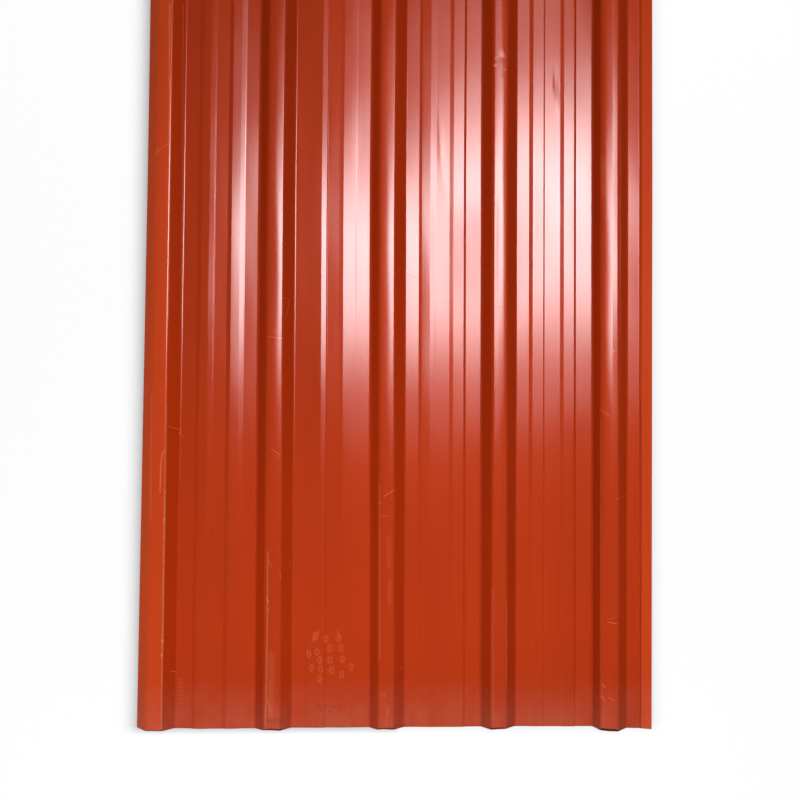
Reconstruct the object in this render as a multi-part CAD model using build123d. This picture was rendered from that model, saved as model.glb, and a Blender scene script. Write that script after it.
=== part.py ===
from build123d import *

import math
import os

# Trapezoidal roofing sheet, roll-formed in one piece from pre-painted steel coil.
# It lies flat with its painted weather side up: X runs across the ribs, Y along them, and Z = 0 is the
# plane that its pans rest on. All sizes are in millimetres.

# The steel and the cut length
STEEL_THICKNESS = 0.45
SHEET_LENGTH = 3000.0

# Main ribs, which stand at one even pitch across the sheet
RIB_COUNT = 5
RIB_PITCH = 190.0
RIB_HEIGHT = 25.4
RIB_CREST = 26.0
RIB_SLOPE_RUN = 18.0
RIB_BEND_RADIUS = 4.0
CREST_CROWN = 0.5
CROWN_SHARE = 0.75

# Minor ribs, the low stiffeners that stand evenly in each pan
MINOR_RIB_COUNT = 2
MINOR_RIB_HEIGHT = 1.8
MINOR_RIB_TOP = 17.0
MINOR_RISER_RUN = 4.2
MINOR_BEND_RADIUS = 2.0

# Side laps: the free edge of the first rib covers the neighbour's last rib, and the lip beyond the last
# rib's foot goes under the neighbour's first minor rib
OVERLAP_EDGE_LIFT = 1.0
UNDERLAP_LIP = 17.5
UNDERLAP_LIP_FLARE = 3.5

# Widths worked out from the sizes above
half_crest = RIB_CREST / 2
half_base = half_crest + RIB_SLOPE_RUN
pan_width = RIB_PITCH - 2 * half_base
minor_rib_foot = MINOR_RIB_TOP + 2 * MINOR_RISER_RUN
pan_flat = (pan_width - MINOR_RIB_COUNT * minor_rib_foot) / (MINOR_RIB_COUNT + 1)


# A corner of the section is (x, z, radius) on the sheet's underside. Where the steel turns down, the
# underside is the inside of the bend; where it turns up, it is the outside, one thickness larger.


def main_rib(centre):
    """Corners of one main rib from left to right, its crest slightly crowned."""
    crown_angle = math.atan(CREST_CROWN / half_crest)
    crown_radius = CROWN_SHARE * half_crest / math.tan(crown_angle)
    return [
        (centre - half_base, 0, RIB_BEND_RADIUS + STEEL_THICKNESS),
        (centre - half_crest, RIB_HEIGHT, RIB_BEND_RADIUS),
        (centre, RIB_HEIGHT + CREST_CROWN, crown_radius),
        (centre + half_crest, RIB_HEIGHT, RIB_BEND_RADIUS),
        (centre + half_base, 0, RIB_BEND_RADIUS + STEEL_THICKNESS),
    ]


def minor_rib(left_foot):
    """Corners of one minor rib from left to right, starting at its left foot."""
    return [
        (left_foot, 0, MINOR_BEND_RADIUS + STEEL_THICKNESS),
        (left_foot + MINOR_RISER_RUN, MINOR_RIB_HEIGHT, MINOR_BEND_RADIUS),
        (left_foot + MINOR_RISER_RUN + MINOR_RIB_TOP, MINOR_RIB_HEIGHT, MINOR_BEND_RADIUS),
        (left_foot + minor_rib_foot, 0, MINOR_BEND_RADIUS + STEEL_THICKNESS),
    ]


def pan(left):
    """Corners of one pan between two main ribs, whose floor starts at left."""
    corners = []
    for number in range(MINOR_RIB_COUNT):
        corners += minor_rib(left + pan_flat + number * (minor_rib_foot + pan_flat))
    return corners


def section_corners():
    """Corners of the whole underside, from the overlap edge to the underlap lip."""
    corners = main_rib(0)[1:]
    for number in range(1, RIB_COUNT):
        centre = number * RIB_PITCH
        corners += pan(centre - half_base - pan_width)
        corners += main_rib(centre)
    last_base = (RIB_COUNT - 1) * RIB_PITCH + half_base
    corners += minor_rib(last_base + pan_flat)[:2]
    return corners


def section_underside():
    """The underside of the section as one line, with every corner rounded. It is as long as the strip."""
    corners = section_corners()
    slope_at_edge = RIB_SLOPE_RUN * OVERLAP_EDGE_LIFT / RIB_HEIGHT
    overlap_edge = (-half_base + slope_at_edge, OVERLAP_EDGE_LIFT)
    lip_x, lip_z, _ = corners[-1]
    underlap_edge = (lip_x + UNDERLAP_LIP, lip_z + UNDERLAP_LIP_FLARE)
    points = [overlap_edge] + [(x, z) for x, z, _ in corners] + [underlap_edge]
    return FilletPolyline(*points, radius=[radius for _, _, radius in corners]).wire()


def roofing_sheet(underside):
    """The sheet: one steel thickness laid on the underside line and drawn out along its length."""
    outline = underside.offset_2d(STEEL_THICKNESS, side=Side.LEFT)
    section = Plane.XZ * make_face(outline)
    sheet = extrude(section, SHEET_LENGTH / 2, both=True)
    box = sheet.bounding_box()
    return Pos(-box.center().X, 0, -box.min.Z) * sheet


underside = section_underside()
sheet = roofing_sheet(underside)
sheet.label = "roofing_sheet"
os.makedirs("parts", exist_ok=True)
export_step(sheet, "parts/roofing_sheet.step")
print("strip width", round(underside.length, 1), "mm, size", sheet.bounding_box().size)
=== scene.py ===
import math

import bpy
import numpy as np
from mathutils import Euler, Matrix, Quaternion, Vector


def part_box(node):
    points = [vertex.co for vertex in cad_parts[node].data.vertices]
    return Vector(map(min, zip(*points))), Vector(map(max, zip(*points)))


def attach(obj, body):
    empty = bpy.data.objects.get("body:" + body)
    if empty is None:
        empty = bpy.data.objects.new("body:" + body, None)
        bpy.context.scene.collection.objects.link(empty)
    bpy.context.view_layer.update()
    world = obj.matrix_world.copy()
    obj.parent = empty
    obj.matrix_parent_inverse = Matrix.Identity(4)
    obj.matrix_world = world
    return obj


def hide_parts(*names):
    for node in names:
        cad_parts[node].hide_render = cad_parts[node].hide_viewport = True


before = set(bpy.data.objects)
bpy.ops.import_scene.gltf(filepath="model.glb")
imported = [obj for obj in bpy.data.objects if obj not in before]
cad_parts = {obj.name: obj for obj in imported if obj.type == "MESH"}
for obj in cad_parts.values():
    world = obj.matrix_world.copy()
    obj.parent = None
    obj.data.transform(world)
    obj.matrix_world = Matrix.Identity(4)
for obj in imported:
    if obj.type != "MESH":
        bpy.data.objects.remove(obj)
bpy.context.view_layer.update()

# A trapezoidal roofing sheet in glossy terracotta paint, lying weather side up on a pale studio floor.
# All sizes are in metres. X runs across the ribs, Y along them, and Z = 0 is the floor.

sheet_low, sheet_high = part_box("roofing_sheet")
MM = 0.001

# The photo's camera: a 50 mm lens nearly two metres above the sheet's lower part, turned by these degrees
LENS = 50.0
SENSOR = 36.0
PHOTO_SIDE = 800
CAMERA_PLACE = (-0.0903, -1.0183, 1.8971)
CAMERA_TURN = (2.14, -2.73, 0.44)

# The section, with the solid's sizes but softer bends at the main ribs
STEEL = 0.45 * MM
RIB_COUNT = 5
RIB_PITCH = 190 * MM
RIB_HEIGHT = 25.4 * MM
HALF_CREST = 13 * MM
SLOPE_RUN = 18 * MM
RIB_BEND = 5.5 * MM
MINOR_HEIGHT = 1.8 * MM
MINOR_BEND = 2 * MM
RISER_RUN = 4.2 * MM
MINOR_FOOT = 25.4 * MM
EDGE_LIFT = 1 * MM
LIP_RUN = 17.5 * MM
HALF_BASE = HALF_CREST + SLOPE_RUN
PAN = RIB_PITCH - 2 * HALF_BASE
FLAT = (PAN - 2 * MINOR_FOOT) / 3

# How the rolls and handling left the strips between the bends. A minor rib rises in one riser, and
# falls first over a soft shoulder and then over a short step.
SHOULDER_RUNS = (8.5 * MM, 6.5 * MM)
STEP_RUNS = (1.4 * MM, 2.2 * MM)
SHOULDER_REACH = 2 * MM
TOP_RUNS = [
    MINOR_FOOT + SHOULDER_REACH - RISER_RUN - shoulder - step
    for shoulder, step in zip(SHOULDER_RUNS, STEP_RUNS)
]
SHOULDER_BEND = 5 * MM
# What each pan is made of, from left to right
PAN_STRIPS = ("flat", "riser", "top", "shoulder", "step") * 2 + ("flat",)
# Tilts in degrees at a strip's left and right side; one that falls to the right is positive
PAN_TILTS = (
    # flat, top, shoulder, flat, top, shoulder, flat
    ((-1.5, -1.5), (-1.0, -1.0), (3.1, 3.1), (1.8, 1.8), (3.25, 3.75), (6.0, 6.0), (2.4, 2.4)),
    ((-2.0, -2.0), (-2.2, -2.2), (2.0, 2.0), (-1.5, -1.5), (0.8, 1.4), (1.8, 1.8), (1.6, 1.6)),
    ((-1.0, -0.6), (-3.6, -3.0), (0.4, 0.4), (-0.3, -0.3), (0.3, 0.6), (1.0, 1.0), (0.4, 0.8)),
    ((0.0, 0.0), (0.2, 0.2), (0.0, 0.0), (0.0, 0.0), (0.4, 0.4), (0.5, 0.5), (-0.2, -0.2)),
)
# How far each pan's two short steps fall
STEP_FALLS = ((0.5 * MM, 0.4 * MM), (1.0 * MM, 0.15 * MM), (0.12 * MM, 1.8 * MM), (0.5 * MM, 1.8 * MM))
# Each crest's strips: their share of its width and their tilts
CREST_STRIPS = (
    ((1.0, -2.2, 2.5),),
    ((1.0, -4.0, 5.0),),
    ((1.0, -6.0, 1.0),),
    ((1.0, -4.1, 8.0),),
    ((0.30, -20.0, -10.8), (0.36, -10.8, -8.2), (0.34, -0.2, 0.5)),
)
FOOT_TILT = 0.35
LIP_TILT = -15.0

# How much wider each pan's strips are than planned, in millimetres; its last flat takes up the rest
PAN_CHANGES = (
    # flat, riser, top, shoulder, step, flat, riser, top, shoulder, step
    (0.0, 2.4, -0.3, 0.0, 0.0, -2.4, 2.4, 0.0, 0.0, 0.0),
    (0.0, 2.4, 1.4, 0.0, 0.0, -3.1, 2.7, 0.0, 0.0, 0.0),
    (-1.9, 1.0, 0.9, 0.0, 0.0, -0.9, 2.7, -3.4, 0.0, 1.4),
    (-2.7, 2.7, -3.7, 0.0, 0.8, 3.2, 2.6, -3.4, 0.0, 0.9),
)
# How far each rib's left base, left crest edge, right crest edge and right base stand off their places.
# Rib 5 came out wider than its neighbours.
RIB_SHIFTS = (
    (0.0, 0.0, 0.0, 0.0),
    (3.0 * MM, 0.0, 1.2 * MM, 0.0),
    (4.8 * MM, 0.0, 0.0, 0.0),
    (4.3 * MM, 1.5 * MM, 0.0, 0.0),
    (7.2 * MM, -3.0 * MM, 1.5 * MM, 4.0 * MM),
)

# How far the edges and ribs wander sideways at two places in Y: one in the photo's upper part, and one near
# the bottom end
UPPER_STATION = -0.56
LOWER_STATION = -1.475
WANDER = (
    # left edge, ribs 1 to 5, right edge
    (1.0 * MM, -2.0 * MM),
    (-0.4 * MM, -1.5 * MM),
    (-1.4 * MM, 2.7 * MM),
    (-2.2 * MM, 2.8 * MM),
    (0.2 * MM, 2.0 * MM),
    (0.3 * MM, 0.3 * MM),
    (0.5 * MM, -1.6 * MM),
)

# Low waves all over the steel: height, length in X and in Y, and where in its swing each starts
LOW_WAVES = ((0.10 * MM, 0.23, 0.61, 0.2), (0.08 * MM, 0.145, -0.37, 0.65), (0.04 * MM, 0.082, 0.26, 0.4))

# How finely the mesh is drawn along the sheet and across it: closely where the photo shows it, and most
# closely at the dents. A turn under the least bend has no arc, and points within the least gap are one.
BOTTOM_END = sheet_low.y
TOP_END = sheet_high.y
SHOWN_END = BOTTOM_END + 1.27
ROW_STEP = 22 * MM
FAR_ROW_STEP = 150 * MM
STRIP_STEP = 8 * MM
DENT_STRIP_STEP = 2.2 * MM
BEND_STEP = math.radians(13)
LEAST_BEND = 1e-4
LEAST_GAP = 1e-6
# How far from the bottom end the cut's unevenness is felt
END_FADE = 60 * MM


def strip(run, tilts):
    """Run, rise and bow of one strip."""
    left, right = tilts
    mean = math.radians((left + right) / 2)
    return run, -run * math.tan(mean), math.radians((right - left) / 2)


def pan_strips(number):
    """The strips of one pan. Its two risers climb what the others fall, so that it ends where it began."""
    middle = FLAT - SHOULDER_REACH
    first_rib = (RISER_RUN, TOP_RUNS[0], SHOULDER_RUNS[0], STEP_RUNS[0])
    second_rib = (RISER_RUN, TOP_RUNS[1], SHOULDER_RUNS[1], STEP_RUNS[1])
    planned = (FLAT, *first_rib, middle, *second_rib)
    runs = [run + change * MM for run, change in zip(planned, PAN_CHANGES[number])]
    runs.append(PAN + RIB_SHIFTS[number + 1][0] - sum(runs))
    tilts, falls = iter(PAN_TILTS[number]), iter(STEP_FALLS[number])
    strips = []
    for kind, run in zip(PAN_STRIPS, runs):
        if kind == "riser":
            strips.append((run, 0, 0))
        elif kind == "step":
            strips.append((run, -next(falls), 0))
        else:
            strips.append(strip(run, next(tilts)))
    climb = -sum(rise for _, rise, _ in strips) / PAN_STRIPS.count("riser")
    return [(laid[0], climb, 0) if kind == "riser" else laid for kind, laid in zip(PAN_STRIPS, strips)]


def section_strips():
    """Every strip from the overlap edge to the lip, and the bend radius on the underside after each."""
    strips, bends = [], []
    minor_bends = [MINOR_BEND, MINOR_BEND, SHOULDER_BEND, MINOR_BEND, MINOR_BEND]
    for number in range(RIB_COUNT):
        left_base, left_crest, right_crest, right_base = RIB_SHIFTS[number]
        width = 2 * HALF_CREST + right_crest - left_crest
        crest = [strip(share * width, tilts) for share, *tilts in CREST_STRIPS[number]]
        rise = sum(laid[1] for laid in crest)
        up, down = RIB_HEIGHT - rise / 2, RIB_HEIGHT + rise / 2
        if number:
            strips += pan_strips(number - 1)
            bends += minor_bends + minor_bends + [RIB_BEND]
            strips.append((SLOPE_RUN + left_crest - left_base, up, 0))
        else:
            strips.append((SLOPE_RUN * (1 - EDGE_LIFT / RIB_HEIGHT), up - EDGE_LIFT, 0))
        strips += [*crest, (SLOPE_RUN + right_base - right_crest, -down, 0)]
        bends += [RIB_BEND] * (len(crest) + 2)
    foot = strip(FLAT - RIB_SHIFTS[-1][3], (FOOT_TILT, FOOT_TILT))
    strips += [foot, (RISER_RUN, MINOR_HEIGHT, 0), strip(LIP_RUN, (LIP_TILT, LIP_TILT))]
    bends += [MINOR_BEND, MINOR_BEND]
    return strips, bends


def bend_points(start, first, end, last, radius):
    """The points on a bend between its ends, where the heading turns from first to last, and the headings."""
    steps = max(2, math.ceil(abs(last - first) / BEND_STEP))
    headings = [first + (last - first) * q / steps for q in range(1, steps)]
    signed = radius * abs(last - first) / (last - first)

    def arc(heading):
        return signed * np.array([math.sin(heading) - math.sin(first), math.cos(first) - math.cos(heading)])

    miss = end - start - arc(last)
    points = [start + arc(heading) + miss * q / steps for q, heading in enumerate(headings, 1)]
    return points, headings


def section_line():
    """Points on the underside across the sheet, the headings there and the distances along the steel."""
    strips, bends = section_strips()
    corners = [np.array([-HALF_BASE + SLOPE_RUN * EDGE_LIFT / RIB_HEIGHT, EDGE_LIFT])]
    for run, rise, _ in strips:
        corners.append(corners[-1] + (run, rise))
    chords = [math.atan2(rise, run) for run, rise, _ in strips]
    widths = [math.hypot(run, rise) for run, rise, _ in strips]
    bows = [bow for _, _, bow in strips]
    radii, trims = [], [0.0]
    for i, bend in enumerate(bends):
        turn = chords[i + 1] + bows[i + 1] - chords[i] + bows[i]
        radii.append(bend + STEEL if turn > 0 else bend)
        trims.append(radii[-1] * math.tan(abs(turn) / 2))
    trims.append(0.0)

    def on_strip(i, u):
        along = np.array([math.cos(chords[i]), math.sin(chords[i])])
        across = np.array([-along[1], along[0]])
        point = corners[i] + widths[i] * (u * along + bows[i] * u * (1 - u) * across)
        return point, chords[i] + bows[i] * (1 - 2 * u)

    points, headings = [], []
    for i, width in enumerate(widths):
        first, last = trims[i] / width, 1 - trims[i + 1] / width
        middle = sheet_high.x - sum(run for run, _, _ in strips[i:]) + strips[i][0] / 2
        dented = any(low < middle < high for low, high in DENTED_STRIPS)
        steps = max(1, math.ceil((last - first) * width / (DENT_STRIP_STEP if dented else STRIP_STEP)))
        for u in np.linspace(first, last, steps + 1):
            point, heading = on_strip(i, u)
            points.append(point)
            headings.append(heading)
        if i == len(bends):
            break
        start, before = on_strip(i, last)
        end, after = on_strip(i + 1, trims[i + 1] / widths[i + 1])
        if abs(after - before) >= LEAST_BEND:
            bent, turned = bend_points(start, before, end, after, radii[i])
            points += bent
            headings += turned
    points, headings = np.array(points), np.array(headings)
    keep = np.r_[True, np.hypot(*np.diff(points, axis=0).T) > LEAST_GAP]
    points, headings = points[keep], headings[keep]
    points[:, 0] += sheet_high.x - corners[-1][0]
    distance = np.r_[0, np.cumsum(np.hypot(*np.diff(points, axis=0).T))]
    return points, headings, distance


def rib_centre(number):
    last = FLAT + RISER_RUN + LIP_RUN + HALF_BASE
    return sheet_high.x - last - (RIB_COUNT - 1 - number) * RIB_PITCH


def rise_field(x, y):
    """How far the steel stands off its true height at (x, y)."""
    wave = 0.0
    for height, length_x, length_y, start in LOW_WAVES:
        wave = wave + height * np.sin(2 * np.pi * (x / length_x + y / length_y + start))
    for middle_x, middle_y, reach_x, reach_y, turn, height in DENTS:
        along, aside = math.cos(math.radians(turn)), math.sin(math.radians(turn))
        p = ((x - middle_x) * along + (y - middle_y) * aside) / reach_x
        q = ((y - middle_y) * along - (x - middle_x) * aside) / reach_y
        wave = wave + height * np.exp(-(p * p + q * q) / 2)
    return wave


def wander_field(x, y):
    """How far the steel stands sideways off its true line at (x, y)."""
    places = [sheet_low.x] + [rib_centre(number) for number in range(RIB_COUNT)] + [sheet_high.x]
    upper, lower = (np.interp(x, places, shifts) for shifts in zip(*WANDER))
    down = (UPPER_STATION - y) / (UPPER_STATION - LOWER_STATION)
    fade = np.clip((TOP_END - y) / (TOP_END - UPPER_STATION), 0, 1)
    return np.where(down < 0, upper * fade, upper + (lower - upper) * down)


def end_reach(x):
    """How far the uneven cut at the bottom end stands out past its true line, at x."""
    places, reaches = zip(*CUT_LINE)
    return np.interp(x, places, reaches)


def sheet_rows():
    """The places along the sheet that have a row of points."""
    shown = np.arange(BOTTOM_END, SHOWN_END, ROW_STEP)
    far = np.linspace(SHOWN_END, TOP_END, math.ceil((TOP_END - SHOWN_END) / FAR_ROW_STEP) + 1)
    rows = [shown, far]
    for low, high, step in DENTED_ROWS:
        rows.append(np.arange(low, high, step))
    return np.unique(np.round(np.concatenate(rows), 5))


def sheet_surfaces(rows):
    """Points of the weather side and of the underside, and the normals there, by column and row."""
    points, headings, _ = SECTION
    x = np.repeat(points[:, :1], len(rows), axis=1)
    z = np.repeat(points[:, 1:], len(rows), axis=1)
    y = np.repeat(rows[None, :], len(points), axis=0)
    cosine, sine = np.cos(headings)[:, None], np.sin(headings)[:, None]
    step = 0.5 * MM
    slope_x = (rise_field(x + step, y) - rise_field(x - step, y)) / (2 * step)
    slope_y = (rise_field(x, y + step) - rise_field(x, y - step)) / (2 * step)
    along_section = np.stack([cosine + 0 * x, 0 * x, sine + slope_x * cosine], axis=-1)
    along_sheet = np.stack([0 * x, 1 + 0 * x, slope_y], axis=-1)
    normals = np.cross(along_section, along_sheet)
    normals /= np.linalg.norm(normals, axis=-1, keepdims=True)
    reach = end_reach(x) * np.clip(1 - (y - BOTTOM_END) / END_FADE, 0, 1)
    under = np.stack([x + wander_field(x, y), y - reach, z + rise_field(x, y)], axis=-1)
    under[..., 2] -= under[..., 2].min()
    return under + STEEL * normals, under, normals


def sheet_faces(headings, count):
    """Quads of the weather side, of the underside and of the four cut edges, each edge with its way out."""
    columns = len(headings)
    number = np.arange(columns * count).reshape(columns, count)
    a, b, c, d = number[:-1, :-1], number[1:, :-1], number[1:, 1:], number[:-1, 1:]
    top = np.stack([a, b, c, d], axis=-1).reshape(-1, 4)
    shift = columns * count
    edges = []
    for row, outward in ((0, -1), (count - 1, 1)):
        left, right = number[:-1, row], number[1:, row]
        quads = np.stack([left + shift, right + shift, right, left], axis=-1)
        edges.append((quads[:, ::-outward], (0, outward, 0)))
    for column, outward in ((0, -1), (columns - 1, 1)):
        near, far = number[column, :-1], number[column, 1:]
        quads = np.stack([near, far, far + shift, near + shift], axis=-1)
        way = outward * np.array([math.cos(headings[column]), 0, math.sin(headings[column])])
        edges.append((quads[:, ::-outward], tuple(way)))
    return top, top[:, ::-1] + shift, edges


def sheet_mesh():
    """The whole sheet as one closed mesh, with normals from the section and not from its facets."""
    _, headings, distance = SECTION
    rows = sheet_rows()
    columns, count = len(headings), len(rows)
    over, under, normals = sheet_surfaces(rows)
    top, bottom, edges = sheet_faces(headings, count)
    vertices = np.concatenate([over.reshape(-1, 3), under.reshape(-1, 3)])
    faces = np.concatenate([top, bottom] + [quads for quads, _ in edges])
    flat = normals.reshape(-1, 3)
    loop_normals = np.concatenate(
        [flat[top.reshape(-1)], -flat[bottom.reshape(-1) - columns * count]]
        + [np.tile(way, (quads.size, 1)) for quads, way in edges]
    )
    borders = [coil_point(px, ZONE_ROW)[0] for px in ZONE_BORDERS]
    zones = np.repeat(np.searchsorted(borders, (distance[:-1] + distance[1:]) / 2), count - 1)
    back, edge = len(borders) + 1, len(borders) + 2
    slots = np.r_[zones, np.full(len(bottom), back), np.full(len(faces) - len(top) - len(bottom), edge)]

    mesh = bpy.data.meshes.new("roofing_sheet_dressed")
    mesh.from_pydata(vertices.tolist(), [], faces.tolist())
    mesh.polygons.foreach_set("use_smooth", np.ones(len(faces), bool))
    mesh.polygons.foreach_set("material_index", slots.astype(np.int32))
    coil = mesh.uv_layers.new(name="coil")
    place = np.stack(np.broadcast_arrays(distance[:, None], rows), axis=-1).reshape(-1, 2)
    place = np.concatenate([place, place])
    coil.uv.foreach_set("vector", place[faces.reshape(-1)].reshape(-1))
    mesh.update()
    mesh.normals_split_custom_set(loop_normals.tolist())
    print("sheet", columns, "x", count, "triangles", 2 * len(faces), "lowest", vertices[:, 2].min())
    return mesh


def photo_ray(px, py):
    """The way that the camera looks through the pixel (px, py) of the photo."""
    focal = LENS / SENSOR * PHOTO_SIDE
    turn = Euler([math.radians(angle) for angle in CAMERA_TURN]).to_matrix()
    return turn @ Vector(((px - PHOTO_SIDE / 2) / focal, (PHOTO_SIDE / 2 - py) / focal, -1))


def ground_point(px, py):
    """Where the pixel (px, py) of the photo falls on the plane that the pans lie in."""
    ray = photo_ray(px, py)
    reach = -CAMERA_PLACE[2] / ray.z
    return CAMERA_PLACE[0] + reach * ray.x, CAMERA_PLACE[1] + reach * ray.y


def coil_point(px, py):
    """Where the pixel (px, py) of the photo falls on the coil: distance across the strip, and Y."""
    points, _, distance = SECTION
    ray = photo_ray(px, py)
    reach = (points[:, 1] + STEEL - CAMERA_PLACE[2]) / ray.z
    y = CAMERA_PLACE[1] + reach * ray.y
    miss = points[:, 0] + wander_field(points[:, 0], y) - CAMERA_PLACE[0] - reach * ray.x
    hits = np.nonzero((miss[:-1] <= 0) & (miss[1:] > 0))[0]
    i = max(hits, key=lambda hit: points[hit, 1])
    share = miss[i] / (miss[i] - miss[i + 1])
    return distance[i] + share * (distance[i + 1] - distance[i]), y[i] + share * (y[i + 1] - y[i])


class Nodes:
    """A short way to write the node tree of a material or of the world."""

    def __init__(self, owner):
        owner.use_nodes = True
        self.owner = owner
        self.tree = owner.node_tree
        self.tree.nodes.clear()

    def add(self, kind, values=None, **settings):
        node = self.tree.nodes.new("ShaderNode" + kind)
        for key, value in settings.items():
            setattr(node, key, value)
        for key, value in (values or {}).items():
            if isinstance(value, bpy.types.NodeSocket):
                self.tree.links.new(value, node.inputs[key])
            else:
                node.inputs[key].default_value = value
        return node

    def math(self, operation, *values, clamp=False):
        return self.add("Math", dict(enumerate(values)), operation=operation, use_clamp=clamp).outputs[0]

    def noise(self, vector, scale, detail=2.0, roughness=0.5):
        values = {"Vector": vector, "Scale": scale, "Detail": detail, "Roughness": roughness}
        return self.add("TexNoise", values).outputs["Fac"]

    def stretched(self, vector, factors):
        return self.add("VectorMath", {0: vector, 1: factors}, operation="MULTIPLY").outputs[0]

    def between(self, value, low, high, to_low=0.0, to_high=1.0, **settings):
        """Goes from to_low, where the value is low, to to_high, where it is high, and stays within them."""
        names = ("Value", "From Min", "From Max", "To Min", "To Max")
        values = dict(zip(names, (value, low, high, to_low, to_high)))
        return self.add("MapRange", values, **settings).outputs[0]

    def mix(self, factor, first, second):
        node = self.add("Mix", data_type="RGBA")
        for socket, value in (("Factor_Float", factor), ("A_Color", first), ("B_Color", second)):
            target = next(s for s in node.inputs if s.identifier == socket)
            if isinstance(value, bpy.types.NodeSocket):
                self.tree.links.new(value, target)
            else:
                target.default_value = value
        return next(s for s in node.outputs if s.identifier == "Result_Color")

    def finish(self, shader, output="OutputMaterial"):
        self.add(output, {"Surface": shader})
        return self.owner


def material_nodes(name):
    return Nodes(bpy.data.materials.new(name))


def rgb(red, green, blue):
    return red, green, blue, 1.0


# Handling marks, each with its width in millimetres, its strength and the photo's pixels it runs through. A
# few are
# painted highlights: the bright spots at the crest dent on rib 4 and the light line along the crease in the
# third pan.
SCRATCHES_AND_HIGHLIGHTS = (
    (1.0, 0.30, ((149, 165), (155, 157), (159, 150), (169, 143))),
    (3.0, 0.14, ((155, 155), (158, 149))),
    (1.3, 0.40, ((144.5, 385), (150, 387.5))),
    (1.3, 0.34, ((144.5, 389.5), (150, 391.5))),
    (1.0, 0.32, ((168, 426.5), (181, 429.5))),
    (1.0, 0.34, ((179, 435), (181, 431))),
    (1.0, 0.26, ((182, 435), (183.5, 438))),
    (1.1, 0.55, ((160, 492), (160.6, 470), (162, 454), (165, 449.5))),
    (0.9, 0.45, ((268, 336.5), (283, 338.5))),
    (0.8, 0.18, ((270, 331), (279, 333))),
    (1.4, 0.26, ((285, 318), (288, 309), (289, 299))),
    (0.8, 0.28, ((281, 298), (286, 298.6))),
    (0.8, 0.22, ((268, 446.5), (272, 449))),
    (1.0, 0.48, ((272, 449.5), (280, 455))),
    (0.8, 0.22, ((274, 455), (280, 458.5))),
    (0.9, 0.40, ((289.5, 559), (289.5, 568))),
    (0.9, 0.28, ((280, 571), (280.5, 580))),
    (0.8, 0.30, ((268, 558), (272, 567))),
    (1.3, 0.55, ((266.5, 598), (268.5, 602))),
    (1.0, 0.40, ((267, 608), (269, 611))),
    (1.0, 0.48, ((384, 496.5), (393, 490.5))),
    (1.0, 0.30, ((378, 504), (381, 503))),
    (1.0, 0.30, ((382, 517), (389, 515.5))),
    (1.3, 0.40, ((381, 696), (381.6, 695))),
    (1.0, 0.34, ((384, 693), (385, 697))),
    (1.2, 0.40, ((402, 721), (402.5, 724))),
    (0.9, 0.36, ((400.5, 668.5), (402.5, 669))),
    (1.0, 0.40, ((600, 409), (609.5, 416))),
    (0.8, 0.18, ((604, 409), (611, 417))),
    (1.0, 0.26, ((616, 499), (620, 498), (625, 494.5))),
    # The next four are painted highlights at the crest dent on rib 4
    (2.4, 0.85, ((494.6, 65.8), (495.6, 65))),
    (1.8, 0.60, ((504.4, 69.2), (505.6, 70))),
    (1.1, 0.60, ((488.4, 68.2), (488.6, 68.8))),
    (1.6, 0.35, ((494.6, 58.6), (498, 56.6))),
    (1.0, 0.46, ((608, 622), (617, 624))),
    (0.8, 0.20, ((609, 619.5), (616, 617.5))),
    (1.4, 0.36, ((602.5, 684), (604.5, 687))),
    (1.6, 0.26, ((602, 696), (604.5, 700))),
    (1.0, 0.26, ((609, 697.5), (615, 700.5))),
    (1.6, 0.90, ((613.5, 351), (613.6, 351.6))),
    (0.9, 0.42, ((170.5, 671.3), (176, 671.8))),
    (1.6, 0.95, ((162.3, 640), (162.3, 642))),
    (1.6, 0.85, ((161.8, 654.5), (161.7, 656))),
    (1.3, 0.60, ((163.5, 519), (163.6, 522))),
    # Painted highlight along the crease in the third pan
    (1.3, 0.15, ((405.5, 271), (411, 272.5), (417, 275))),
)
# Rubbed streaks, which break up along the ribs. The first two are partly painted highlight, warming the thin
# highlights at the first crest's right edge and at the foot of the first rib's right slope.
RUBS_AND_HIGHLIGHTS = (
    # The next two are partly rubbed streaks and partly painted highlight on the first rib's bends
    (1.7, 0.50, ((169.6, 5), (169, 200), (168, 320))),
    (1.5, 0.42, ((182.9, 5), (182.4, 200), (181.3, 320))),
    (1.8, 0.26, ((151.5, 395), (150.7, 520))),
    (2.4, 0.26, ((166.3, 405), (165, 500))),
    (1.8, 0.72, ((165, 490), (163.8, 560), (162.4, 650))),
    (1.4, 0.62, ((162.2, 650), (161.2, 729))),
    (1.5, 0.50, ((267.8, 552), (267.2, 640), (266.2, 690), (265.2, 727))),
    (8.0, 0.16, ((271, 655), (271, 716))),
    (1.3, 0.30, ((379.6, 485), (379.6, 660))),
    (1.3, 0.34, ((506.3, 600), (506.3, 690))),
    (4.0, 0.14, ((492.5, 590), (492.5, 720))),
    (1.0, 0.20, ((601, 420), (601.2, 700))),
)
# Scuffs, which are broken up every way
SCUFFS = (
    (5.5, 0.30, ((388.5, 538), (389, 566))),
    (5.0, 0.34, ((390, 582), (389.5, 602))),
    (4.0, 0.30, ((388, 709), (386, 726))),
    (5.5, 0.40, ((602.5, 158), (603, 196))),
    (3.0, 0.50, ((267.5, 700), (271, 712))),
    (4.5, 0.45, ((318, 632), (313, 641))),
    (3.0, 0.30, ((338, 630), (340, 640))),
)
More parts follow.
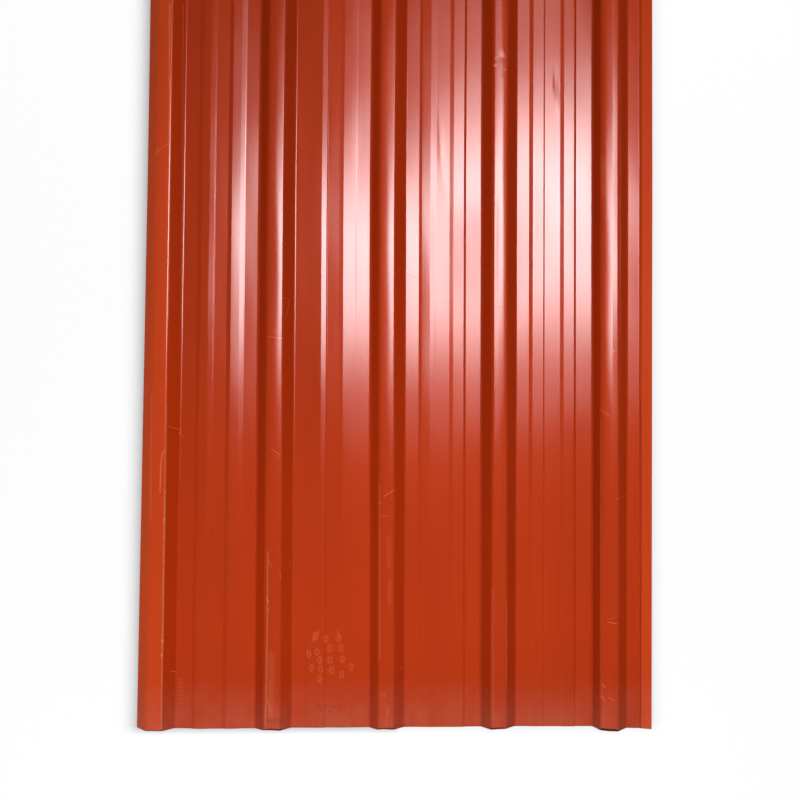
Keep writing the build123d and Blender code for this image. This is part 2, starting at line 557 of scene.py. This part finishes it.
# Dark marks: stains, and painted shade at the crest dent on rib 4 and in the crease at the lip's riser; below
# them the stains that break up along the ribs
STAINS_AND_SHADES = (
    # The next three are painted shade beside the crest dent on rib 4
    (2.2, 0.50, ((496, 61.6), (497.6, 62.6))),
    (1.6, 0.26, ((498, 66), (502.6, 66.6))),
    (3.4, 0.22, ((502, 75), (502, 77.5))),
    (0.9, 0.42, ((494, 211), (501, 210.4))),
    (0.9, 0.55, ((497, 308), (504, 306.4))),
    (0.8, 0.35, ((497, 340.5), (501, 337.5))),
    (0.8, 0.30, ((496, 335), (500, 334))),
    (0.8, 0.28, ((608, 314.8), (617, 314.3))),
    (2.2, 0.55, ((256, 390), (256.2, 391))),
    # The next two are painted shade in the crease where the foot meets the lip's riser
    (2.1, 0.30, ((640.6, 400), (640.9, 570))),
    (2.1, 0.42, ((640.9, 570), (640.4, 727))),
    (4.5, 0.15, ((268, 721), (281, 721))),
    (1.4, 0.30, ((318.5, 704), (321, 711))),
    (1.2, 0.28, ((321, 706), (328, 705.5), (336, 706.5))),
    (1.8, 0.34, ((329, 711), (330.5, 711.5))),
    (1.4, 0.30, ((337, 711), (341.5, 705))),
    (0.8, 0.30, ((565.5, 182), (568, 182.4))),
    (0.8, 0.26, ((570, 187), (572, 187))),
    (0.8, 0.24, ((566, 206), (570, 208))),
    (0.8, 0.24, ((567, 221), (571, 220.4))),
    (1.0, 0.30, ((522, 176), (522.4, 176.4))),
)
BROKEN_STAINS = (
    (1.3, 0.55, ((613.6, 105), (613.8, 180), (613.6, 345))),
    (1.0, 0.35, ((615.4, 190), (615.4, 215))),
    (1.0, 0.22, ((496, 200), (496, 330))),
    (0.9, 0.40, ((306, 598), (306, 720))),
    (0.9, 0.28, ((338, 592), (338, 700))),
)
# Oval rub marks in the second pan: the photo's pixels in their middles, and half their width and length
RING_PLACES = (
    (326, 639), (338.6, 638), (329.6, 648.6), (341, 648), (317, 652), (308.6, 654), (330, 660), (342.4, 659),
    (319.6, 660), (311.6, 668), (320.6, 669.4), (331.6, 670), (341.6, 674.4), (319.6, 679), (351.6, 667),
    (315.5, 636),
)
RING_SIZE = (3.4 * MM, 5.2 * MM)
RING_STRENGTH = 0.26
# A row of short rub ticks in the first pan: its left and right side and its top and bottom in the photo's
# pixels, and the distance from tick to tick
COMB = (177.5, 183.5, 676, 705)
COMB_STEP = 6.5 * MM
COMB_STRENGTH = 0.16
# The shares of its width from its line within which a mark is at full strength, and past which it is gone
MARK_CORE = 0.15
MARK_EDGE = 1.1
# Painted shade along the cut end, widest over each rib where the shadow under the rib ends falls: the photo's
# column, at one of its rows, and the shade's width there. It narrows between two distances from there to what
# it is elsewhere.
RIB_END_SHADES = ((154, 1.4 * MM), (275, 2.6 * MM), (388, 2.2 * MM), (496, 2.7 * MM), (609, 4.0 * MM))
RIB_END_SHADE_ROW = 700
RIB_END_SHADE_NARROWS = (11 * MM, 20 * MM)
RIB_END_SHADE_ELSEWHERE = 0.45 * MM
RIB_END_SHADE_STRENGTH = 0.95
# Specks of dirt: cells to the metre, the share of them that stays clean and a speck's largest share of a cell
SPECK_CELLS = 42.0
SPECK_FREE = 0.9
SPECK_SIZE = 0.035
SPECK_STRENGTH = 0.45
# The paint is made in zones from side to side, each with its own marks; their borders are these columns of
# the photo, at one of its rows
ZONE_BORDERS = (215, 298, 362, 430, 555)
ZONE_ROW = 400


def coil_across(x):
    points, _, distance = SECTION
    return float(np.interp(x, points[:, 0], distance))


def in_zone(zone, px):
    return sum(px > border for border in ZONE_BORDERS) == zone


def marks(n, place, zone, lines):
    """How strongly one zone's lines of marks show, each soft towards its edges."""
    total = 0.0
    for width, strength, pixels in lines:
        if not in_zone(zone, pixels[0][0]):
            continue
        spots = [Vector((*coil_point(px, py), 0)) for px, py in pixels]
        for start, end in zip(spots, spots[1:]):
            span = end - start
            away = n.add("VectorMath", {0: place, 1: start}, operation="SUBTRACT").outputs[0]
            share = n.add("VectorMath", {0: away, 1: span / span.length_squared}, operation="DOT_PRODUCT")
            share = n.math("ADD", share.outputs["Value"], 0.0, clamp=True)
            nearest = n.add("VectorMath", {0: span, "Scale": share}, operation="SCALE").outputs[0]
            distance = n.add("VectorMath", {0: away, 1: nearest}, operation="DISTANCE").outputs["Value"]
            shown = n.between(distance, MARK_CORE * width * MM, MARK_EDGE * width * MM, strength, 0.0)
            total = n.math("MAXIMUM", total, shown)
    return total


def rub_rings(n, place, zone):
    """Faint oval rub marks near the bottom end of the second pan."""
    total = 0.0
    ragged = n.noise(place, 500.0, 2.0)
    for px, py in RING_PLACES:
        if not in_zone(zone, px):
            continue
        middle = Vector((*coil_point(px, py), 0))
        away = n.add("VectorMath", {0: place, 1: middle}, operation="SUBTRACT").outputs[0]
        scaled = n.stretched(away, (1 / RING_SIZE[0], 1 / RING_SIZE[1], 0.0))
        length = n.add("VectorMath", {0: scaled}, operation="LENGTH").outputs["Value"]
        off = n.math("ABSOLUTE", n.math("SUBTRACT", length, n.between(ragged, 0.3, 0.7, 0.4, 1.2)))
        total = n.math("MAXIMUM", total, n.between(off, 0.05, 0.75, RING_STRENGTH, 0.0))
    return n.math("MULTIPLY", total, n.between(ragged, 0.40, 0.58, 0.15, 1.0))


def comb(n, place, zone):
    """A faint row of short rub ticks, one below the other."""
    left, right, top, bottom = COMB
    if not in_zone(zone, left):
        return 0.0
    low, high = coil_point(left, bottom), coil_point(right, top)
    split = n.add("SeparateXYZ", {0: place}).outputs
    aside = n.math("ABSOLUTE", n.math("SUBTRACT", split["X"], (low[0] + high[0]) / 2))
    half = (high[0] - low[0]) / 2
    aside = n.between(aside, 0.6 * half, 1.1 * half, 1.0, 0.0)
    away = n.math("ABSOLUTE", n.math("SUBTRACT", split["Y"], (low[1] + high[1]) / 2))
    half = (high[1] - low[1]) / 2
    away = n.between(away, 0.7 * half, 1.1 * half, 1.0, 0.0)
    ragged = n.noise(place, 260.0, 2.0)
    shifted = n.math("ADD", split["Y"], n.math("MULTIPLY", ragged, 4 * MM))
    tick = n.between(n.math("PINGPONG", shifted, COMB_STEP / 2), 0.1 * COMB_STEP, 0.3 * COMB_STEP, 1.0, 0.0)
    tick = n.math("MULTIPLY", tick, n.between(ragged, 0.4, 0.6, 0.3, 1.0))
    return n.math("MULTIPLY", n.math("MULTIPLY", tick, COMB_STRENGTH), n.math("MULTIPLY", aside, away))


def painted_end_shade(n, across, along, zone):
    """Painted shade at the cut end: widest over the ribs, a hair's breadth elsewhere."""
    width = RIB_END_SHADE_ELSEWHERE
    for px, widest in RIB_END_SHADES:
        if in_zone(zone, px):
            off = n.math("ABSOLUTE", n.math("SUBTRACT", across, coil_point(px, RIB_END_SHADE_ROW)[0]))
            width = n.between(off, *RIB_END_SHADE_NARROWS, widest, width)
    from_end = n.math("DIVIDE", n.math("SUBTRACT", along, BOTTOM_END), width)
    return n.between(from_end, 0.8, 1.15, RIB_END_SHADE_STRENGTH, 0.0)


def specks(n, place):
    """A few specks of dirt."""
    cells = n.add("TexVoronoi", {"Vector": place, "Scale": SPECK_CELLS})
    chance = n.add("SeparateColor", {0: cells.outputs["Color"]}).outputs[0]
    size = n.between(chance, SPECK_FREE, 1.0, 0.0, SPECK_SIZE)
    near = n.math("LESS_THAN", cells.outputs["Distance"], size)
    return n.math("MULTIPLY", near, SPECK_STRENGTH)


# The paint's colours, linear: the coat itself between its darkest and its palest streaks, the laps and the
# first rib's outer slope painted paler as painted light, and what dust, rubbing, scratches and dirt leave.
# The rub and scratch colours also serve as painted highlight, and the dirt colour as painted shade.
PAINT_DARK = rgb(0.478, 0.0350, 0.0026)
PAINT_PALE = rgb(0.562, 0.0465, 0.0036)
LAP_PAINTED_LIGHT = rgb(0.72, 0.072, 0.011)
SLOPE_PAINTED_LIGHT = rgb(0.80, 0.080, 0.009)
DUSTY = rgb(0.58, 0.30, 0.24)
RUB_AND_HIGHLIGHT = rgb(0.60, 0.27, 0.15)
SCRATCH_AND_HIGHLIGHT = rgb(0.88, 0.26, 0.10)
DIRT_AND_SHADE = rgb(0.045, 0.010, 0.005)
# The share of the painted light on the overlapping rib and on the lip
LAP_PAINTED_LIGHT_SHARE = 0.55
DUST_STRENGTH = 0.125
# Painted shade along the sheet, darker towards the top and at the bottom end: two places in Y, and the
# colour's factor at each. The left one is felt from the first pan to the second pan's first flat, between
# these distances across the coil.
LEFT_PAINTED_SHADE = (-1.15, -0.85, 1.0, 0.90)
LEFT_PAINTED_SHADE_STARTS = (0.086, 0.094)
LEFT_PAINTED_SHADE_STOPS = (0.338, 0.352)
UPPER_PAINTED_SHADE = (-0.80, -0.30, 1.0, 0.91)
END_PAINTED_SHADE = (BOTTOM_END + 0.02, BOTTOM_END + 0.17, 0.87, 1.0)
# Painted shade on the last two ribs' slopes, which are darker between these distances from the rib's middle
SLOPE_PAINTED_SHADE = 0.86
SLOPE_STARTS = (13 * MM, 17 * MM)
SLOPE_STOPS = (43 * MM, 46 * MM)


def coat_colour(n, place, streaks):
    """The coat before any wear, with streaks along the coil, broad unevenness and a fine grain."""
    broad = n.noise(n.stretched(place, (1.0, 0.15, 1.0)), 9.0, 2.0)
    grain = n.noise(place, 620.0, 2.0, 0.7)
    tone = n.math("ADD", n.between(streaks, 0.3, 0.7, -0.04, 0.04), n.between(broad, 0.3, 0.7, -0.05, 0.05))
    tone = n.math("ADD", tone, n.between(grain, 0.3, 0.7, -0.06, 0.06))
    return n.mix(n.between(tone, -0.12, 0.12), PAINT_DARK, PAINT_PALE)


def painted_lap_light(n, colour, across):
    """Painted light: the overlapping rib, most of all its outer slope, and the underlapping lip are painted
    paler.
    """
    crest = [coil_across(rib_centre(0) + side * HALF_CREST) for side in (-1, 1)]
    lip = coil_across(sheet_high.x - LIP_RUN)
    on_slope = n.between(across, crest[0] + MM, crest[0] - MM)
    on_rib = n.between(across, crest[1] + MM, crest[1] - MM)
    on_lip = n.between(across, lip - MM, lip + MM)
    on_lap = n.math("MAXIMUM", n.math("MULTIPLY", on_rib, LAP_PAINTED_LIGHT_SHARE), n.math("MULTIPLY", on_lip, LAP_PAINTED_LIGHT_SHARE))
    return n.mix(on_slope, n.mix(on_lap, colour, LAP_PAINTED_LIGHT), SLOPE_PAINTED_LIGHT)


def painted_shade(n, colour, across, along):
    """Painted shade: darker towards the top, sooner so on the left, at the bottom end and on the last two
    ribs' slopes.
    """
    before, after = n.between(across, *LEFT_PAINTED_SHADE_STARTS[::-1]), n.between(across, *LEFT_PAINTED_SHADE_STOPS)
    shade_factor = n.math("MAXIMUM", n.math("MAXIMUM", after, before), n.between(along, *LEFT_PAINTED_SHADE))
    shade_factor = n.math("MULTIPLY", shade_factor, n.between(along, *UPPER_PAINTED_SHADE))
    shade_factor = n.math("MULTIPLY", shade_factor, n.between(along, *END_PAINTED_SHADE))
    for number in (RIB_COUNT - 2, RIB_COUNT - 1):
        off = n.math("ABSOLUTE", n.math("SUBTRACT", across, coil_across(rib_centre(number))))
        on_slope = n.math("MULTIPLY", n.between(off, *SLOPE_STARTS), n.between(off, *SLOPE_STOPS[::-1]))
        shade_factor = n.math("MULTIPLY", shade_factor, n.between(on_slope, 0.0, 1.0, 1.0, SLOPE_PAINTED_SHADE))
    return n.add("VectorMath", {0: colour, "Scale": shade_factor}, operation="SCALE").outputs[0]


def dust_film(n, place, along):
    """A film of dust towards the bottom end."""
    cloud = n.noise(n.stretched(place, (1.0, 0.6, 1.0)), 24.0, 4.0, 0.6)
    dust = n.between(along, BOTTOM_END + 0.085, BOTTOM_END + 0.01)
    return n.math("MULTIPLY", dust, n.between(cloud, 0.3, 0.6, 0.35, 1.0))


def top_coat(zone):
    """Terracotta coil paint with a warm gloss under its clear one: streaks, fine unevenness, wear, and
    painted light and shade.
    """
    n = material_nodes(f"terracotta_coil_paint_{zone + 1}")
    place = n.add("UVMap", uv_map="coil").outputs[0]
    split = n.add("SeparateXYZ", {0: place}).outputs
    across, along = split["X"], split["Y"]
    streaks = n.noise(n.stretched(place, (1.0, 0.012, 1.0)), 420.0, 3.0)
    # Painted light: the laps and the first rib's outer slope are painted paler
    colour = painted_lap_light(n, coat_colour(n, place, streaks), across)
    # Painted shade: darker towards the top, on the left, at the bottom end and on the last two ribs' slopes
    colour = painted_shade(n, colour, across, along)
    dust = dust_film(n, place, along)
    colour = n.mix(n.math("MULTIPLY", dust, DUST_STRENGTH), colour, DUSTY)

    streaky = n.noise(n.stretched(place, (1.0, 0.13, 1.0)), 1000.0, 3.0, 0.6)
    # The rubs include painted highlight along the first rib's bends
    rubbed_and_highlit = n.math("MULTIPLY", marks(n, place, zone, RUBS_AND_HIGHLIGHTS), n.between(streaky, 0.38, 0.60, 0.30, 1.0))
    colour = n.mix(rubbed_and_highlit, colour, RUB_AND_HIGHLIGHT)
    patchy = n.noise(n.stretched(place, (1.0, 0.5, 1.0)), 700.0, 3.0, 0.65)
    scuffed = n.math("MULTIPLY", marks(n, place, zone, SCUFFS), n.between(patchy, 0.44, 0.68))
    # The scratches include painted highlights at the crest dent on rib 4 and along the third pan's crease
    scratched_and_highlit = n.math("ADD", marks(n, place, zone, SCRATCHES_AND_HIGHLIGHTS), rub_rings(n, place, zone))
    scratched_and_highlit = n.math("ADD", n.math("ADD", scratched_and_highlit, comb(n, place, zone)), scuffed)
    colour = n.mix(scratched_and_highlit, colour, SCRATCH_AND_HIGHLIGHT)
    grit = n.between(streaky, 0.42, 0.56)
    stained_and_shaded = n.math("MULTIPLY", marks(n, place, zone, BROKEN_STAINS), grit)
    # The stains include painted shade at the crest dent on rib 4 and in the crease at the lip's riser
    stained_and_shaded = n.math("ADD", n.math("ADD", stained_and_shaded, marks(n, place, zone, STAINS_AND_SHADES)), specks(n, place))
    # Painted shade at the cut end, widest over the ribs
    stained_and_shaded = n.math("MAXIMUM", stained_and_shaded, painted_end_shade(n, across, along, zone))
    colour = n.mix(stained_and_shaded, colour, DIRT_AND_SHADE)

    bump = n.add("Bump", {"Height": streaks, "Distance": 0.000004, "Strength": 1.0})
    worn = n.math("MULTIPLY", n.math("MAXIMUM", scratched_and_highlit, stained_and_shaded), 0.2)
    dull = n.math("ADD", n.math("MULTIPLY", dust, 0.08), worn)
    under_gloss = {"Metallic": 0.17, "Roughness": n.math("ADD", dull, 0.35), "Specular IOR Level": 0.0}
    clear_gloss = {"Coat Weight": 1.0, "Coat Roughness": 0.13, "Coat IOR": 1.65}
    normals = {"Normal": bump.outputs[0], "Coat Normal": bump.outputs[0]}
    shader = n.add("BsdfPrincipled", {"Base Color": colour, **under_gloss, **clear_gloss, **normals})
    return n.finish(shader.outputs[0])


def back_coat():
    """The service coat on the underside: a thin pale grey."""
    n = material_nodes("grey_back_coat")
    place = n.add("UVMap", uv_map="coil").outputs[0]
    streaks = n.noise(n.stretched(place, (1.0, 0.02, 1.0)), 260.0, 3.0)
    colour = n.mix(n.between(streaks, 0.3, 0.7), rgb(0.40, 0.39, 0.37), rgb(0.50, 0.49, 0.46))
    shader = n.add("BsdfPrincipled", {"Base Color": colour, "Roughness": 0.42})
    return n.finish(shader.outputs[0])


def cut_edge():
    """Bare sheared steel with its zinc."""
    n = material_nodes("sheared_zinc_edge")
    place = n.add("UVMap", uv_map="coil").outputs[0]
    grain = n.noise(place, 900.0, 2.0)
    colour = n.mix(n.between(grain, 0.3, 0.7), rgb(0.30, 0.28, 0.26), rgb(0.55, 0.54, 0.52))
    shader = n.add("BsdfPrincipled", {"Base Color": colour, "Metallic": 0.8, "Roughness": 0.4})
    return n.finish(shader.outputs[0])


def build_sheet():
    sheet = bpy.data.objects.new("dressed_roofing_sheet", sheet_mesh())
    bpy.context.scene.collection.objects.link(sheet)
    for material in [top_coat(zone) for zone in range(len(ZONE_BORDERS) + 1)] + [back_coat(), cut_edge()]:
        sheet.data.materials.append(material)
    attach(sheet, "root")
    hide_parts("roofing_sheet")


# The floor is a pale cloth just below the sheet, seen as white. Beside the sheet's two sides it carries a
# painted
# shadow: how far out, how steeply and how much.
FLOOR_REACH = 30.0
FLOOR_DROP = 0.2 * MM
FLOOR_TONES = (rgb(0.90, 0.90, 0.90), rgb(0.92, 0.92, 0.92))
LEFT_PAINTED_SHADOW = (0.038, 2.2, 0.51)
RIGHT_PAINTED_SHADOW = (0.030, 2.0, 0.15)
# Where past the sheet's two ends the painted shadow starts, and where within them it is whole
PAINTED_SHADOW_STARTS = 0.012
PAINTED_SHADOW_WHOLE = 0.004
# How bright the camera sees the floor at two places in Y, and how much of that it sees instead of the shaded
# cloth at two distances from the middle. The paint mirrors little of the floor.
FLOOR_GLOW = (-1.7, 0.0, 1.0, 1.21)
FLOOR_GLOW_SHARE = (2.5, 7.0, 0.6, 1.0)
FLOOR_UNMIRRORED = 0.93
BLACK = rgb(0.0, 0.0, 0.0)


def painted_side_shadow(n, across, edge, way, painted_shadow):
    """Painted shadow on the cloth beside one edge of the sheet, from which it lies one way in X."""
    reach, power, darkness = painted_shadow
    near = n.math("POWER", n.between(across, edge + way * reach, edge), power)
    return n.math("MULTIPLY", near, darkness)


def painted_floor_shadow(n, across, along):
    """Painted shadow on the cloth beside the sheet."""
    beside = n.between(along, BOTTOM_END - PAINTED_SHADOW_STARTS, BOTTOM_END + PAINTED_SHADOW_WHOLE)
    beside = n.math("MULTIPLY", beside, n.between(along, TOP_END + PAINTED_SHADOW_STARTS, TOP_END - PAINTED_SHADOW_WHOLE))
    on_left = n.math("LESS_THAN", across, 0.0)
    on_right = n.math("SUBTRACT", 1.0, on_left)
    left = n.math("MULTIPLY", painted_side_shadow(n, across, sheet_low.x, -1, LEFT_PAINTED_SHADOW), on_left)
    right = n.math("MULTIPLY", painted_side_shadow(n, across, sheet_high.x, 1, RIGHT_PAINTED_SHADOW), on_right)
    return n.math("MULTIPLY", n.math("ADD", left, right), beside)


def floor_cloth():
    n = material_nodes("pale_floor")
    place = n.add("TexCoord").outputs["Object"]
    split = n.add("SeparateXYZ", {0: place}).outputs
    rays = n.add("LightPath").outputs
    # The painted shadow darkens both the cloth and its glow beside the sheet
    painted_shadow = n.math("MULTIPLY", painted_floor_shadow(n, split["X"], split["Y"]), rays["Is Camera Ray"])
    colour = n.mix(painted_shadow, n.mix(n.noise(place, 3.0, 2.0), *FLOOR_TONES), BLACK)
    colour = n.mix(n.math("MULTIPLY", rays["Is Glossy Ray"], FLOOR_UNMIRRORED), colour, BLACK)
    shade = n.add("BsdfDiffuse", {"Color": colour})
    level = n.math("MULTIPLY", n.between(split["Y"], *FLOOR_GLOW), n.math("SUBTRACT", 1.0, painted_shadow))
    glow = n.add("Emission", {"Strength": level})
    away = n.add("VectorMath", {0: place}, operation="LENGTH").outputs["Value"]
    seen = n.math("MULTIPLY", rays["Is Camera Ray"], n.between(away, *FLOOR_GLOW_SHARE))
    return n.finish(n.add("MixShader", {0: seen, 1: shade.outputs[0], 2: glow.outputs[0]}).outputs[0])


def flat_piece(name, left, right, foot, head, height, material):
    """A level rectangle for the studio around the sheet."""
    mesh = bpy.data.meshes.new(name)
    corners = [(left, foot, 0), (right, foot, 0), (right, head, 0), (left, head, 0)]
    mesh.from_pydata(corners, [], [(0, 1, 2, 3)])
    mesh.materials.append(material)
    piece = bpy.data.objects.new(name, mesh)
    piece.location.z = height
    bpy.context.scene.collection.objects.link(piece)
    return piece


def build_floor():
    sides = (-FLOOR_REACH, FLOOR_REACH)
    floor = flat_piece("studio_floor", *sides, *sides, -FLOOR_DROP, floor_cloth())


def build_camera():
    data = bpy.data.cameras.new("photo_camera")
    data.lens = LENS
    data.sensor_width = SENSOR
    camera = bpy.data.objects.new("photo_camera", data)
    camera.location = CAMERA_PLACE
    camera.rotation_euler = Euler([math.radians(angle) for angle in CAMERA_TURN])
    bpy.context.scene.collection.objects.link(camera)
    bpy.context.scene.camera = camera


def area_light(name, place, aim, size, brightness, colour=(1.0, 1.0, 1.0)):
    """A soft rectangular lamp; brightness is its radiance, where 1 is as bright as a white floor."""
    data = bpy.data.lights.new(name, "AREA")
    data.shape = "RECTANGLE"
    data.size, data.size_y = size
    data.energy = brightness * math.pi * size[0] * size[1]
    data.color = colour
    lamp = bpy.data.objects.new(name, data)
    lamp.location = place
    lamp.rotation_mode = "QUATERNION"
    lamp.rotation_quaternion = (Vector(aim) - Vector(place)).to_track_quat("-Z", "Y")
    lamp.visible_camera = False
    bpy.context.scene.collection.objects.link(lamp)
    return lamp


# The softbox that the paint mirrors. It stands as three columns side by side, and each is layered sheets
# of light, so that its brightness fades out towards its border.
SOFTBOX_HEIGHT = 5.0
SOFTBOX_SPIN = math.radians(10)
SOFTBOX_COLUMN_WIDTH = 0.571
SOFTBOX_LAYER_GAP = 0.01
SOFTBOX_COLOUR = (0.965, 0.96, 1.0)
# Each column's middle in X, its two ends in Y, how far its core stops short of the foot and how bright its
# faint outermost layer is
SOFTBOX_COLUMNS = (
    (0.170, -0.395, 0.620, 0.50, 0.7),
    (0.741, -0.297, 0.895, 0.76, 1.4),
    (1.312, -0.185, 1.050, 0.50, 1.6),
)
# The two lamps that light the sheet from past its ends: place, aim, size and brightness
FILLS = {
    "foot_fill": ((-0.15, -3.3, 2.1), (0.0, -1.0, 0.0), (2.2, 0.8), 13.2),
    "head_fill": ((0.0, 4.0, 2.0), (0.0, 1.0, 0.0), (1.8, 0.8), 1.5),
}
# The room's brightness: two heights that a ray may point to, and the brightness at each; and how bright the
# paint mirrors it at every height
ROOM_LEVELS = (0.10, 0.45, 0.46, 0.12)
ROOM_MIRRORED = 0.07
# A net hangs just under the softbox and dims a part of it: its left and right side, its foot and its head
NET_SIDES = (0.61, 0.90)
NET_ENDS = (-0.10, 0.45)
NET_DROP = 0.02
NET_DENSITY = 0.62
NET_COLOUR = rgb(0.02, 0.02, 0.02)


def build_net():
    n = material_nodes("dark_net")
    holes = n.add("BsdfTransparent").outputs[0]
    threads = n.add("BsdfDiffuse", {"Color": NET_COLOUR}).outputs[0]
    material = n.finish(n.add("MixShader", {0: NET_DENSITY, 1: holes, 2: threads}).outputs[0])
    net = flat_piece("softbox_net", *NET_SIDES, *NET_ENDS, SOFTBOX_HEIGHT - NET_DROP, material)
    net.visible_camera = False


def softbox_layers(short, faint):
    """A column's layers from its core to its faintest one: how much further than the column each reaches to
    the sides, at the foot and at the head, and its brightness."""
    core = (-0.12, -short, -0.28, 3.0)
    body = ((-0.04, -0.14, -0.10, 4.3), (0.04, 0.04, 0.055, 4.3), (0.12, 0.22, 0.31, 3.0))
    return core, *body, (0.0, 0.60, 0.95, faint)


def build_lights():
    spin = Quaternion((0, 0, 1), SOFTBOX_SPIN)
    for column, (x, foot, head, short, faint) in enumerate(SOFTBOX_COLUMNS):
        middle = Vector((x, (foot + head) / 2, SOFTBOX_HEIGHT))
        for layer, (wider, at_foot, at_head, light) in enumerate(softbox_layers(short, faint)):
            place = middle + spin @ Vector((0, (at_head - at_foot) / 2, SOFTBOX_LAYER_GAP * layer))
            size = (SOFTBOX_COLUMN_WIDTH + 2 * wider, head - foot + at_head + at_foot)
            name, aim = f"softbox_{column}_{layer}", place - Vector((0, 0, 1))
            lamp = area_light(name, place, aim, size, light, SOFTBOX_COLOUR)
            lamp.rotation_quaternion = spin @ lamp.rotation_quaternion
    for name, fill in FILLS.items():
        area_light(name, *fill)


def build_room():
    """The paint mirrors the dim upper room at every height, and the camera sees white."""
    n = Nodes(bpy.data.worlds.new("studio_room"))
    direction = n.add("SeparateXYZ", {0: n.add("TexCoord").outputs["Generated"]}).outputs
    level = n.between(direction["Z"], *ROOM_LEVELS, interpolation_type="SMOOTHSTEP")
    rays = n.add("LightPath").outputs
    chosen = n.add("Mix", {"Factor": rays["Is Glossy Ray"], "A": level, "B": ROOM_MIRRORED}).outputs[0]
    strength = n.math("MAXIMUM", chosen, rays["Is Camera Ray"])
    back = n.add("Background", {"Color": rgb(1.0, 1.0, 1.0), "Strength": strength})
    bpy.context.scene.world = n.finish(back.outputs[0], "OutputWorld")


# The bottom end was cut a little out of true: how far it reaches out, in millimetres, at columns of the photo
CUT_ROW = 726
CUT_LINE = [
    (ground_point(px, CUT_ROW)[0], reach * MM)
    for px, reach in (
        (138, -1.7), (155, -1.7), (166, -1.0), (175, 0), (200, 1.0), (254, 1.0), (266, -2.5), (276, -1.4),
        (290, 0.3), (370, 0), (380, -3.0), (392, -2.0), (401, 0), (484, -0.4), (494, -2.1), (505, -2.5),
        (514, -0.6), (590, 0), (604, 1.8), (617, 2.1), (626, 3.0), (634, 3.6), (652, 4.1),
    )
]
# Dents and bulges of the steel: the photo's pixel in the middle, reach across and along in millimetres, turn
# in degrees and height in millimetres
DENTS = [
    (*ground_point(px, py), across * MM, along * MM, turn, height * MM)
    for px, py, across, along, turn, height in (
        (500, 53, 4.0, 6.0, 0, 0.10),
        (500, 63, 4.6, 4.6, -15, -0.16),
        (495, 63.6, 1.9, 2.0, 0, 0.07),
        (505, 68, 2.0, 2.0, 0, 0.07),
        (502, 76, 3.0, 5.0, 0, -0.06),
        (555, 84, 2.4, 17.0, 0, -0.28),
        (556.5, 99, 3.0, 12.0, 0, 0.20),
        (441, 145, 3.8, 40.0, 4, 0.46),
        (230, 300, 10.0, 70.0, 0, 0.10),
        (230, 165, 10.0, 60.0, 0, -0.08),
        (447, 196, 4.0, 22.0, 0, 0.07),
        (411, 272, 9.0, 5.0, 12, 0.13),
        (474, 245, 7.0, 60.0, 0, -0.10),
        (458, 240, 4.5, 55.0, 0, -0.06),
        (332, 135, 5.0, 34.0, 0, 0.08),
        (361, 160, 6.0, 40.0, 0, -0.08),
        (615, 380, 6.0, 40.0, 0, -0.10),
    )
]
# Where the mesh is finer for them: columns of the photo, at one of its rows, and rows of it, at one of its
# columns, with the step between the mesh's rows in millimetres
DENT_ROW = 200
DENT_COLUMN = 400
DENTED_STRIPS = [
    (ground_point(left, DENT_ROW)[0], ground_point(right, DENT_ROW)[0])
    for left, right in ((402, 482), (486, 508), (545, 560))
]
DENTED_ROWS = [
    (ground_point(DENT_COLUMN, bottom)[1], ground_point(DENT_COLUMN, top)[1], step * MM)
    for top, bottom, step in ((48, 82, 1.8), (82, 106, 5.0), (264, 281, 2.6))
]
SECTION = section_line()

build_camera()
build_floor()
build_lights()
build_room()
build_net()
build_sheet()
bpy.context.scene.view_settings.view_transform = "Standard"
